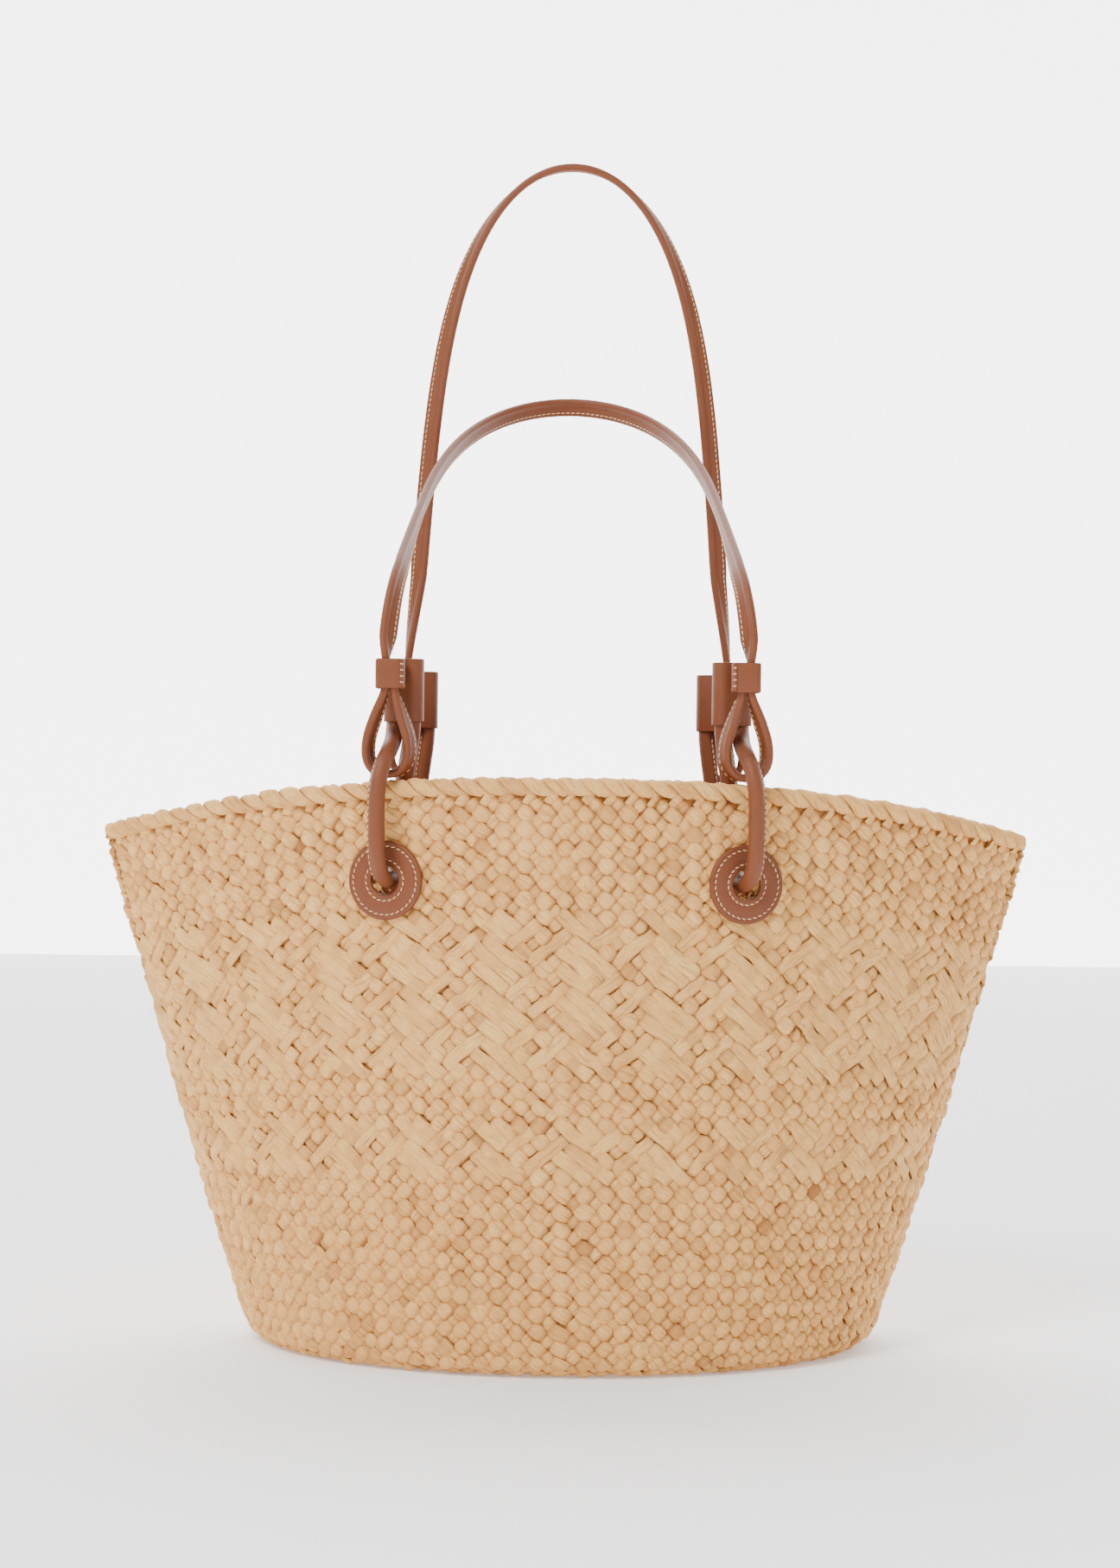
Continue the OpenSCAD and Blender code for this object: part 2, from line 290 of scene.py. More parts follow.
class Strip:
    """A path and its directions at each point: along it, u towards `across`, and w square to both."""

    def __init__(self, path, across, twist=0.0):
        self.path = path
        self.run = run_of(path)
        self.along = unit(np.gradient(path, axis=0))
        across = np.broadcast_to(np.asarray(across, float), path.shape)
        u = unit(across - (across * self.along).sum(-1, keepdims=True) * self.along)
        w = np.cross(self.along, u)
        angle = np.radians(np.broadcast_to(twist, len(path)))[:, None]
        self.u = np.cos(angle) * u + np.sin(angle) * w
        self.w = np.cross(self.along, self.u)

    def skin(self, section):
        """Rings of a section of (u, w) points along the path."""
        u, w = self.u[:, None], self.w[:, None]
        return self.path[:, None] + section[..., 0:1] * u + section[..., 1:2] * w

    def at(self, run):
        """Point, along, u and w at lengths along the path."""
        pick = [np.stack([np.interp(run, self.run, a[:, i]) for i in range(3)], -1)
                for a in (self.path, self.along, self.u, self.w)]
        return [pick[0]] + [unit(v) for v in pick[1:]]


class Shell:
    """Collects closed tubes and stitches that make up one piece."""

    def __init__(self):
        self.points, self.quads, self.uv, self.count = [], [], [], 0

    def add(self, points, quads, uv):
        self.points.append(points.reshape(-1, 3))
        self.uv.append(uv.reshape(-1, 2))
        self.quads.append(quads.reshape(-1, 4) + self.count)
        self.count += points.size // 3

    def tube(self, rings, run, wrap=False):
        """A tube of rings, closed into a torus with `wrap`, or else capped at both ends."""
        count, sides = rings.shape[:2]
        quads = [tube_quads(count, sides, wrap)]
        if not wrap:
            i = np.arange(sides // 2 - 1)
            cap = np.stack([i, i + 1, sides - 2 - i, sides - 1 - i], -1)
            quads += [cap, cap[:, ::-1] + (count - 1) * sides]
        u = np.broadcast_to(np.linspace(0, 1, sides)[None, :], (count, sides))
        v = np.broadcast_to(run[:, None], (count, sides))
        self.add(rings, np.vstack(quads), np.stack([u, v], -1))

    def hollow(self, strip, outer, inner):
        """A tube with a bore through it, open at both ends."""
        rings = np.concatenate([strip.skin(outer), strip.skin(inner)[::-1]])
        self.tube(rings, np.concatenate([strip.run, strip.run[::-1]]), wrap=True)

    def stitches(self, strip, a, b, start, end, slant=0.12, size=1.0):
        """Stitches in a row at a across and b out from the path, from one length along it to another."""
        pitch = sizes().stitch_pitch
        count = max(1, int(round((end - start) / pitch)))
        place, along, u, w = strip.at(start + (np.arange(count) + 0.5) * (end - start) / count)
        place = place + a * u + b * w
        along = unit(along + slant * u)
        u = np.cross(w, along)
        at = np.array([-1, -0.78, 0, 0.78, 1]) * 0.36 * pitch
        fat = np.array([0.25, 0.85, 1, 0.85, 0.25]) * 0.00034 * size
        turn = (np.arange(6) + 0.5) * math.pi / 3
        rings = (at[:, None, None, None] * along[None, :, None] + place[None, :, None]
                 + fat[:, None, None, None] * (np.cos(turn)[:, None] * u[:, None]
                                               + np.sin(turn)[:, None] * w[:, None]))
        for k in range(count):
            self.tube(rings[:, k], at)

    def piece(self, name, body, material, slot, stands_for=()):
        return new_piece(name, np.vstack(self.points), np.vstack(self.quads), body, material,
                         stands_for, np.vstack(self.uv))


# ---------------------------------------------------------------- plaiting
# Crossings of one float repeat, by half steps: rows of "over" (1) and "under" (0) for the strands
# that fall to the right. A repeat is 8 half steps wide, and 6 rows high.
FLOAT_ROWS = [
    {0: 1, 2: 1, 4: 1, 6: 1},
    {1: 1, 3: 1, 5: 0, 7: 0},
    {0: 0, 2: 1, 4: 0, 6: 1},
    {1: 1, 3: 0, 5: 0, 7: 0},
    {0: 1, 2: 1, 4: 1, 6: 0},
    {1: 1, 3: 1, 5: 0, 7: 0},
]
# Bands of the wall from the edging down: "plain" or "float", and how many rows of crossings each has
BANDS = [("plain", 3), ("float", 6), ("plain", 5), ("float", 18), ("plain", 6), ("float", 6), ("plain", 60)]


def over_table(rows):
    """Whether the strand that falls to the right lies on top, for each row and each of 8 half steps."""
    table = np.zeros((rows + 40, 8))
    row = 0
    for kind, count in BANDS:
        for k in range(count):
            if row >= len(table):
                break
            for m in range(8):
                if kind == "float" and m in FLOAT_ROWS[k % 6]:
                    table[row, m] = FLOAT_ROWS[k % 6][m]
                else:
                    table[row, m] = 1 - row % 2
            row += 1
    return table


def plait(shape, falls_right, chance):
    """Points, faces, UVs and tones of all strands that fall one way. The tones carry painted shade where a
    strand passes under another.
    """
    s = sizes()
    pairs, rows = s.strand_pairs, s.strand_rows
    per = 4
    row_h = shape.length / rows
    n = np.linspace(0, rows, rows * per + 1)
    strand = np.arange(pairs)
    way = 1 if falls_right else -1
    m = 2 * strand[:, None] + way * n[None, :]
    table = over_table(rows)

    def state(k):
        """1 where this strand is on top at its crossing in row k."""
        m_at = np.mod(2 * strand[:, None] + way * k[None, :], 8).astype(int)
        over = table[np.clip(k, 0, len(table) - 1)[None, :], m_at]
        return over if falls_right else 1 - over

    k0 = np.minimum(np.floor(n).astype(int), rows)
    f = n - k0
    s0, s1 = state(k0), state(k0 + 1)
    late = 0.09 if falls_right else -0.09  # the broader strands stay on top for longer
    turn = 0.5 + late * (s0 - s1)
    ease = np.clip((f - turn) / 0.56 + 0.5, 0, 1)
    ease = ease * ease * (3 - 2 * ease)
    over = s0 + (s1 - s0) * ease
    lone0 = s0 * (1 - state(np.maximum(k0 - 1, 0))) * (1 - s1)
    lone1 = s1 * (1 - s0) * (1 - state(k0 + 2))
    puff = (lone0 * np.cos(np.pi / 2 * np.clip(f / 0.72, 0, 1))
            + lone1 * np.cos(np.pi / 2 * np.clip((1 - f) / 0.72, 0, 1)))
    flat = over * (1 - np.clip(lone0 + lone1, 0, 1))

    def drift(scale):
        """A random value for each crossing, run smoothly from one to the next."""
        values = chance.normal(0, scale, (pairs, rows + 2))
        smooth = f * f * (3 - 2 * f)
        return values[:, k0] * (1 - smooth) + values[:, k0 + 1] * smooth

    own = chance.uniform(0.93, 1.07, (pairs, 1))
    low_w, high_w, flat_w = (0.0062, 0.0088, 0.0080) if falls_right else (0.0056, 0.0064, 0.0072)
    lift = 0.00125 if falls_right else 0.00065
    dip = 0.00100 if falls_right else 0.00135
    width = own * (low_w + (high_w - low_w) * puff + (flat_w - low_w) * flat) * (1 + drift(0.055))
    height = -WEAVE_T / 2 + over * lift - (1 - over) * dip + flat * 0.00025 + drift(0.00022)
    swell = 1 + puff * (0.42 if falls_right else 0.12) - 0.28 * flat

    down = n[None, :] * row_h + drift(0.00045)
    around = (m + drift(0.075)) / (2 * pairs)
    p, side, fall, normal = shape.frame(around, down)
    along = unit(side * (way / (2 * pairs)) + fall * row_h)
    across = np.cross(normal, along)

    thick = s.strand_thickness
    tilt = drift(0.10)[..., None] * LATERAL
    fold = np.stack([drift(0.00016) for _ in LATERAL], -1) * np.array([0.3, 1, 1, 1, 1, 0.3, 0.3, 0.3])
    sideways = width[..., None] * LATERAL + np.stack([drift(0.00022) for _ in LATERAL], -1)
    up = height[..., None] + thick * (WALL_CROWN * swell[..., None] + tilt) + fold
    points = (p[:, :, None, :] + sideways[..., None] * across[:, :, None, :]
              + up[..., None] * normal[:, :, None, :])
    points[..., 2] = np.maximum(points[..., 2], 0)  # the foot stands flat
    rings, corners = len(n), len(LATERAL)
    quads = tube_quads(rings, corners)
    quads = (np.arange(pairs)[:, None, None] * rings * corners + quads[None]).reshape(-1, 4)
    u = np.broadcast_to(SECTION_U, points.shape[:3])
    v = np.broadcast_to((n * 0.8)[None, :, None] + strand[:, None, None] * 7.31, points.shape[:3])
    mood = chance.normal(0, 0.13, (pairs, rows + 2))[:, np.minimum((n + 0.5).astype(int), rows + 1)]
    # Tone is random for each strand and crossing; the drop of 0.50 where a strand passes under is painted
    # shade in the hollow beneath the crossing strand.
    tone = 0.58 + 1.1 * (own - 1) + mood - 0.50 * (1 - over)
    tone = np.broadcast_to(tone[..., None], points.shape[:3])
    return (points.reshape(-1, 3), quads, np.stack([u, v], -1).reshape(-1, 2), tone.reshape(-1))


def hole_places():
    """Middle and outward direction of each fixing's hole."""
    places = []
    for face, fy in FACES.items():
        for side, sx in SIDES.items():
            out = middle(f"patch_{face}_{side}")
            inside = middle(f"backing_{face}_{side}")
            places.append(((out + inside) / 2, (out - inside).normalized()))
    return places


def press_at_fixings(points, quads):
    """Flattens the plait between patch and backing, and cuts it away at the hole."""
    seat, rim, fade, cut = 0.0021, 0.0207, 0.025, 0.0088
    points = points.copy()
    gone = np.zeros(len(points), bool)
    for centre, out in hole_places():
        rel = points - np.array(centre)
        high = rel @ np.array(out)
        flat = np.linalg.norm(rel - high[:, None] * np.array(out), axis=1)
        near = (flat < fade) & (np.abs(high) < 0.012)
        share = np.clip((fade - flat) / (fade - rim), 0, 1)
        target = np.clip(high, -seat, seat)
        move = np.where(near, (target - high) * share, 0)
        points += move[:, None] * np.array(out)
        gone |= (flat < cut) & (np.abs(high) < 0.012)
    keep = ~gone[quads].all(axis=1)
    return points, quads[keep]


def compact(points, quads, *columns):
    """Only the points that the faces use."""
    used, index = np.unique(quads, return_inverse=True)
    return (points[used], index.reshape(quads.shape)) + tuple(c[used] for c in columns)


class BAG_OT_plait_wall(bpy.types.Operator):
    """Plait the basket's wall from raffia strands"""
    bl_idname = "bag.plait_wall"
    bl_label = "Plait the wall"

    def execute(self, context):
        shape = BasketShape()
        chance = np.random.default_rng(11)
        material = raffia_material()
        for falls_right, label in ((True, "right"), (False, "left")):
            points, quads, uv, tone = plait(shape, falls_right, chance)
            points, quads = press_at_fixings(points, quads)
            for i, part in enumerate(np.array_split(quads, 3)):
                p, q, t, c = compact(points, part, uv, tone)
                new_piece(f"strands_{label}_{i + 1}", p, q, "basket", material,
                          ("woven_wall",), t, c)
        return {"FINISHED"}


class BAG_OT_twist_edging(bpy.types.Operator):
    """Twist the two plies of the rim's edging"""
    bl_idname = "bag.twist_edging"
    bl_label = "Twist the edging"

    def execute(self, context):
        shape = BasketShape()
        chance = np.random.default_rng(5)
        lobes = sizes().strand_pairs
        per = 10                              # rings of one lobe
        count = lobes * per
        middle_run = np.arange(count) / count
        angle = np.interp(middle_run, shape.run, shape.run_angle)
        top = shape.rim_z(angle)
        half = shape.edging / 2
        core = shape.skin(angle, top - half, WEAVE_T / 2)
        along = unit(np.roll(core, -1, 0) - np.roll(core, 1, 0))
        up = unit(np.array([0, 0, 1.0]) - along * along[:, 2:])
        out = np.cross(along, up)
        for ply in range(2):
            turn = math.pi * np.arange(count) / per + ply * math.pi
            sizes_of_lobes = np.resize(chance.normal(0, 1, lobes), lobes + 1)
            bumps = np.interp(np.arange(count) / per, np.arange(lobes + 1), sizes_of_lobes)
            reach = 0.0026 * (1 + 0.12 * bumps)
            radial = np.cos(turn)[:, None] * up * 0.95 + np.sin(turn)[:, None] * out * 1.05
            path = core + reach[:, None] * radial
            facing = unit(radial)
            run_dir = unit(np.roll(path, -1, 0) - np.roll(path, 1, 0))
            side = unit(np.cross(facing, run_dir))
            wide = 0.0036 * (1 + 0.09 * np.roll(bumps, 3))
            spin = np.linspace(0, 2 * math.pi, 12, endpoint=False)
            ring = np.stack([np.cos(spin), np.sin(spin)], -1)
            bulge = 1 + 0.10 * chance.normal(0, 1, (lobes, 12))[np.arange(count) // per]
            rings = (path[:, None] + wide[:, None, None] * ring[None, :, 0:1] * side[:, None]
                     + 0.0024 * (ring[None, :, 1:2] * bulge[..., None]) * facing[:, None])
            uv = np.stack([np.broadcast_to(spin / math.pi, rings.shape[:2]),
                           np.broadcast_to((np.arange(count) / per * 2.2)[:, None], rings.shape[:2])], -1)
            tone = np.repeat(0.55 + 0.13 * chance.normal(0, 1, lobes), per)
            new_piece(f"edging_ply_{ply + 1}", rings, tube_quads(count, 12, True), "basket",
                      raffia_material(), ("rim_braid",), uv.reshape(-1, 2), np.repeat(tone, 12))
        return {"FINISHED"}


class BAG_OT_plait_base(bpy.types.Operator):
    """Plait the base from crossing ribbons"""
    bl_idname = "bag.plait_base"
    bl_label = "Plait the base"

    def execute(self, context):
        chance = np.random.default_rng(23)
        half_w, half_d = BASE_HIGH.x + 0.004, BASE_HIGH.y + 0.004
        pitch = 0.0085
        diagonal = math.sqrt(0.5)
        for way, label in ((1, "right"), (-1, "left")):
            shell, tones = Shell(), []
            reach = int(math.hypot(half_w, half_d) / pitch) + 1
            for k in range(-reach, reach + 1):
                offset = (k + 0.5) * pitch
                along = np.array([diagonal, way * diagonal])
                across = np.array([-way * diagonal, diagonal])
                a = (along[0] / half_w) ** 2 + (along[1] / half_d) ** 2
                b = 2 * offset * (along[0] * across[0] / half_w ** 2 + along[1] * across[1] / half_d ** 2)
                c = offset ** 2 * ((across[0] / half_w) ** 2 + (across[1] / half_d) ** 2) - 1
                room = b * b - 4 * a * c
                if room <= 0 or math.sqrt(room) / a < 2 * pitch:
                    continue
                low, high = (-b - math.sqrt(room)) / (2 * a), (-b + math.sqrt(room)) / (2 * a)
                at = np.linspace(low, high, max(8, int((high - low) / pitch * 4)))
                wave = np.cos(math.pi * (at / pitch - 0.5 - (k if way > 0 else k + 1)))
                rise = BASE_HIGH.z / 2 - 0.0004 + 0.0009 * np.tanh(2 * wave) / math.tanh(2)
                width = 0.0078 * (1 + chance.normal(0, 0.04)) * (1 + 0.05 * np.cos(2 * math.pi * at / pitch))
                flat = at[:, None] * along + offset * across
                spread = flat[:, None] + (width[:, None] * LATERAL)[..., None] * across
                uneven = chance.normal(0, 0.00008, (len(at), len(LATERAL)))
                tall = rise[:, None] + sizes().strand_thickness * 0.9 * BASE_CROWN + uneven
                shell.tube(np.concatenate([spread, tall[..., None]], -1), at / 0.0055 + k * 3.7)
                tones.append(np.full(len(at) * 8, 0.45 + chance.normal(0, 0.12)))
            new_piece(f"base_ribbons_{label}", np.vstack(shell.points), np.vstack(shell.quads), "basket",
                      raffia_material(), ("woven_base",), np.vstack(shell.uv),
                      np.concatenate(tones))
        return {"FINISHED"}


# ---------------------------------------------------------------- the fixings
class Fixing:
    """One of the four fixings: its place on the rim and its directions, from the frame."""

    HOLE_DROP = 0.050
    LOOP_GAP = 0.0013

    def __init__(self, face, side):
        self.name = f"{face}_{side}"
        self.turned = np.array([SIDES[side], FACES[face], 1.0])
        patch, backing = middle(f"patch_{self.name}"), middle(f"backing_{self.name}")
        self.out = np.array((patch - backing).normalized())
        self.place = np.array((patch + backing) / 2)
        self.hole_z = self.place[2]
        self.crown = self.hole_z + self.HOLE_DROP
        self.foot = self.crown + self.LOOP_GAP
        self.beside = np.array([abs(self.out[1]) * SIDES[side], -abs(self.out[0]) * FACES[face], 0])

    def wall(self, points):
        """Points in millimetres along the wall, out of the bag and up from the crown, in the bag's frame."""
        p = np.asarray(points, float) * MM
        base = np.array([self.place[0], self.place[1], self.crown])
        return base + p[:, 0:1] * self.beside + p[:, 1:2] * self.out + p[:, 2:3] * np.array([0, 0, 1])


def each_fixing():
    return [Fixing(face, side) for face in FACES for side in SIDES]


LINK_ROUTE = [
    (4.6, -17, 52), (4.6, -17, 40), (4.6, -17, 31), (3.2, -12.5, 22.5), (1, -5, 18.5), (-0.8, 3, 14.5),
    (-1.2, 11, 7.5), (-0.4, 15, -4), (0, 15, -20), (0, 14, -36), (0, 9.5, -46), (0, 0, -50), (0, -9.5, -46),
    (0, -14, -36), (-0.5, -14.5, -20), (-2, -15, 0), (-4.6, -17, 24), (-4.6, -17, 40), (-4.6, -17, 52)]


class BAG_OT_sew_links(bpy.types.Operator):
    """Roll the tubular links round their cords and stitch their seams"""
    bl_idname = "bag.sew_links"
    bl_label = "Sew the links"

    def execute(self, context):
        radius = sizes().link_diameter / 2 / MM - 0.2
        turn = np.radians(np.linspace(30, 177, 11))
        outer = mirrored_section([(4.8, 0.3), (4.6, 0.85), (4.0, 1.1), (3.3, 1.2)]
                                 + [(-0.2 + radius * math.cos(t), radius * math.sin(t)) for t in turn])
        inner = mirrored_section([(2.15 * math.cos(t), 2.15 * math.sin(t))
                                  for t in np.linspace(0.12, math.pi - 0.12, len(outer) // 2)])
        core = mirrored_section([(2.0 * math.cos(t), 2.0 * math.sin(t))
                                 for t in np.linspace(0.2, math.pi - 0.2, 5)])
        for fixing in each_fixing():
            path = even_steps(fixing.wall(curve(LINK_ROUTE)), 0.002)
            strip = Strip(path, fixing.beside)
            shell = Shell()
            shell.hollow(strip, outer, inner)
            body = f"link_{fixing.name}_body"
            shell.piece(f"link_{fixing.name}_leather", body, leather_material(), "leather",
                        (f"link_{fixing.name}",))
            cord = Shell()
            cord.tube(strip.skin(core), strip.run)
            cord.piece(f"link_{fixing.name}_cord", body, cotton_material(), "cord_core",
                       (f"link_core_{fixing.name}",))
            thread = Shell()
            for face in (-1, 1):
                thread.stitches(strip, 0.0039, face * 0.00122, 0.020, strip.run[-1] - 0.026)
            thread.piece(f"link_{fixing.name}_stitches", body, thread_material(), "thread")
        return {"FINISHED"}


def turned_ring(name, profile, steps=72):
    """A ring turned from a closed profile of (radius, height) in millimetres, its axis along Z."""
    mesh = bpy.data.meshes.new(name)
    count = len(profile)
    edges = [(i, (i + 1) % count) for i in range(count)]
    mesh.from_pydata([(r * MM, 0, z * MM) for r, z in profile], edges, [])
    ring = bpy.data.objects.new(name, mesh)
    bpy.context.scene.collection.objects.link(ring)
    bpy.ops.object.select_all(action="DESELECT")
    ring.select_set(True)
    bpy.context.view_layer.objects.active = ring
    bpy.ops.object.mode_set(mode="EDIT")
    bpy.ops.mesh.select_all(action="SELECT")
    bpy.ops.mesh.spin(steps=steps, angle=2 * math.pi, center=(0, 0, 0), axis=(0, 0, 1))
    bpy.ops.mesh.select_all(action="SELECT")
    bpy.ops.mesh.remove_doubles(threshold=1e-6)
    bpy.ops.mesh.normals_make_consistent(inside=False)
    bpy.ops.mesh.faces_shade_smooth()
    bpy.ops.object.mode_set(mode="OBJECT")
    return ring


def settle(piece, matrix, body, material, stands_for=()):
    """Moves a piece's mesh into place, leaving the object itself unturned, and hands it over."""
    piece.data.transform(matrix)
    piece.data.update()
    if matrix.determinant() < 0:
        piece.data.flip_normals()
    piece.data.materials.clear()
    piece.data.materials.append(material)
    if stands_for:
        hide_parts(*stands_for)
    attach(piece, body)
    return piece


def axes(x, y, z, origin):
    """Matrix from three directions and an origin."""
    matrix = Matrix.Identity(4)
    for column, v in enumerate((x, y, z, origin)):
        for row in range(3):
            matrix[row][column] = float(v[row])
    return matrix


PATCH_PROFILE = [
    (7.5, 0.0), (7.5, 1.3), (7.7, 1.75), (8.2, 2.0), (9.6, 2.0), (10.0, 1.82), (10.3, 1.74), (10.6, 1.82),
    (11.0, 2.0), (16.6, 2.0), (17.0, 1.82), (17.3, 1.74), (17.6, 1.82), (18.0, 2.0),
    (19.2, 2.0), (19.75, 1.75),
    (20.0, 1.2), (19.9, 0.0)]
PATCH_SEAT = 2.2
PATCH_RINGS = (0.0103, 0.0173)


class BAG_OT_sew_patches(bpy.types.Operator):
    """Turn the round patches and backings and sew them on with two rings of stitches"""
    bl_idname = "bag.sew_patches"
    bl_label = "Sew the patches"

    def execute(self, context):
        thread = Shell()
        turn = np.linspace(0, 2 * math.pi, 97)
        for fixing in each_fixing():
            for part, way in (("patch", 1), ("backing", -1)):
                ring = turned_ring(f"{part}_{fixing.name}_leather", PATCH_PROFILE)
                out = fixing.out * way
                centre = fixing.place + out * PATCH_SEAT * MM
                matrix = axes(fixing.beside, (0, 0, 1), out, centre)
                settle(ring, matrix, "basket", leather_material(), (f"{part}_{fixing.name}",))
                for radius in PATCH_RINGS:
                    around = (np.cos(turn)[:, None] * fixing.beside
                              + np.sin(turn)[:, None] * np.array([0, 0, 1]))
                    strip = Strip(centre + out * 0.0019 + radius * around, around)
                    height = np.sign(np.dot(strip.w[0], out)) * 0.00005
                    thread.stitches(strip, 0, height, 0, strip.run[-1], slant=0.2, size=1.05)
        thread.piece("patch_stitches", "basket", thread_material(), "thread", ("patch_thread",))
        return {"FINISHED"}


def leather_band(name, half_w, half_d, corner, height, wall):
    """An upright band with rounded corners, its foot at the origin; sizes in millimetres, outside."""
    bpy.ops.object.select_all(action="DESELECT")
    bpy.ops.mesh.primitive_cube_add(size=1, location=(0, 0, 0))
    band = bpy.context.active_object
    band.name = name
    band.data.name = name
    band.data.transform(Matrix.Translation((0, 0, 0.5)))
    band.data.transform(Matrix.Diagonal((2 * half_w * MM, 2 * half_d * MM, height * MM, 1)))
    bpy.ops.object.mode_set(mode="EDIT")
    bpy.ops.mesh.select_all(action="DESELECT")
    bpy.ops.mesh.select_mode(type="EDGE")
    edit = bmesh.from_edit_mesh(band.data)
    for edge in edit.edges:
        a, b = edge.verts
        if (a.co.xy - b.co.xy).length < 1e-6:
            edge.select_set(True)
    bmesh.update_edit_mesh(band.data)
    bpy.ops.mesh.bevel(offset=corner * MM, offset_type="OFFSET", segments=8, profile=0.5)
    bpy.ops.mesh.select_all(action="DESELECT")
    edit = bmesh.from_edit_mesh(band.data)
    for face in edit.faces:
        if abs(face.normal.z) > 0.9:
            face.select_set(True)
    bmesh.update_edit_mesh(band.data)
    bpy.ops.mesh.delete(type="FACE")
    bpy.ops.object.mode_set(mode="OBJECT")
    thick = band.modifiers.new("thickness", "SOLIDIFY")
    thick.thickness, thick.offset = wall * MM, -1
    bpy.ops.object.modifier_apply(modifier=thick.name)
    edge = band.modifiers.new("edge", "BEVEL")
    edge.width, edge.segments = 0.38 * wall * MM, 3
    edge.limit_method, edge.angle_limit = "ANGLE", math.radians(60)
    bpy.ops.object.modifier_apply(modifier=edge.name)
    bpy.ops.object.mode_set(mode="EDIT")
    bpy.ops.mesh.select_all(action="SELECT")
    bpy.ops.mesh.normals_make_consistent(inside=False)
    bpy.ops.mesh.faces_shade_smooth()
    bpy.ops.object.mode_set(mode="OBJECT")
    return band


def band_seam(fixing, x, y, low, high, body, label):
    """The raised, cross-stitched seam that closes a band, and its stitches."""
    base = np.array([fixing.place[0], fixing.place[1], fixing.foot])
    height = np.linspace(low, high, 13)
    wave = 0.22 * np.sin(np.arange(13) * 2.1)
    path = base + np.stack([x + wave, np.full(13, y), height], -1) * MM * fixing.turned
    strip = Strip(path, (0, FACES["front"], 0))
    ridge = Shell()
    turn = np.linspace(0.25, math.pi - 0.25, 5)
    section = mirrored_section([(1.0 * math.cos(t), 0.75 * math.sin(t)) for t in turn])
    ridge.tube(strip.skin(section), strip.run)
    ridge.piece(f"{label}_{fixing.name}_seam", body, leather_material(), "leather")
    thread = Shell()
    for k in range(1, 5):
        z = low + (high - low) * (k - 0.3) / 4.4
        over = np.array([(x - 1.5, y - 0.5, z), (x, y + 0.95, z + 0.3), (x + 1.6, y + 0.3, z + 0.5)])
        cross = even_steps(curve(base + over * MM * fixing.turned), 0.0004)
        thread.stitches(Strip(cross, (0, 0, 1)), 0, 0, 0, 0.003, slant=0, size=1.2)
    thread.piece(f"{label}_{fixing.name}_seam_stitches", body, thread_material(), "thread")


class BAG_OT_wrap_bands(bpy.types.Operator):
    """Wrap the keepers round the loops and the sleeves round the links' ends"""
    bl_idname = "bag.wrap_bands"
    bl_label = "Wrap the bands"

    def execute(self, context):
        for fixing in each_fixing():
            sx, fy, _ = fixing.turned
            low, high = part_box(f"keeper_{fixing.name}")
            tall = (high.z - low.z) / MM
            keeper = leather_band(f"keeper_{fixing.name}_leather", 7.3, 7.25, 2.8, tall, 2.4)
            place = (fixing.place[0], fixing.place[1], low.z)
            settle(keeper, axes((sx, 0, 0), (0, fy, 0), (0, 0, 1), place), f"loop_{fixing.name}_body",
                   leather_material(), (f"keeper_{fixing.name}",))
            foot = (low.z - fixing.foot) / MM
            band_seam(fixing, -5.6, 6.9 * (1 if fy < 0 else -1), foot + 0.8, foot + tall - 0.8,
                      f"loop_{fixing.name}_body", "keeper")
            low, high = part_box(f"sleeve_{fixing.name}")
            sleeve = leather_band(f"sleeve_{fixing.name}_leather", 10.5, 5.85, 5.6,
                                  (high.z - low.z) / MM, 1.3)
            place = fixing.wall([(0, -17, 0)])[0]
            settle(sleeve, axes(fixing.beside, fixing.out, (0, 0, 1), (place[0], place[1], low.z)),
                   f"link_{fixing.name}_body", leather_material(), (f"sleeve_{fixing.name}",))
        return {"FINISHED"}


# ---------------------------------------------------------------- the straps
LOOP_LEG = [(2.25, 59), (2.25, 45), (6, 33), (10, 20), (10, 9.5), (5.6, 3.2)]
LOOP_FOOT = (0, 2.1)
KEEPER_TOP = 60.0
BEND_RUN = 68.0            # length over which a strap bends above its keepers
ARCH_HALF = 87.25
ARCH_DRAW = 20.0
LOOP_TURN = 26             # degrees that the front loops turn their beads outwards


def arch_points():
    """Half of a strap's arch, as (half width, height above the keepers) in millimetres, from low to high."""
    tall = sizes().arch_height / MM
    turn = np.radians(90 * np.linspace(0.01, 1, 80) ** 1.7)
    up = np.sin(turn) ** 0.571
    wide = (ARCH_HALF + ARCH_DRAW * (BEND_RUN / 2 / tall - up)) * np.sqrt(np.maximum(1 - up ** 5.06, 0))
    keep = up * tall > 52
    return np.stack([wide, up * tall], -1)[keep]


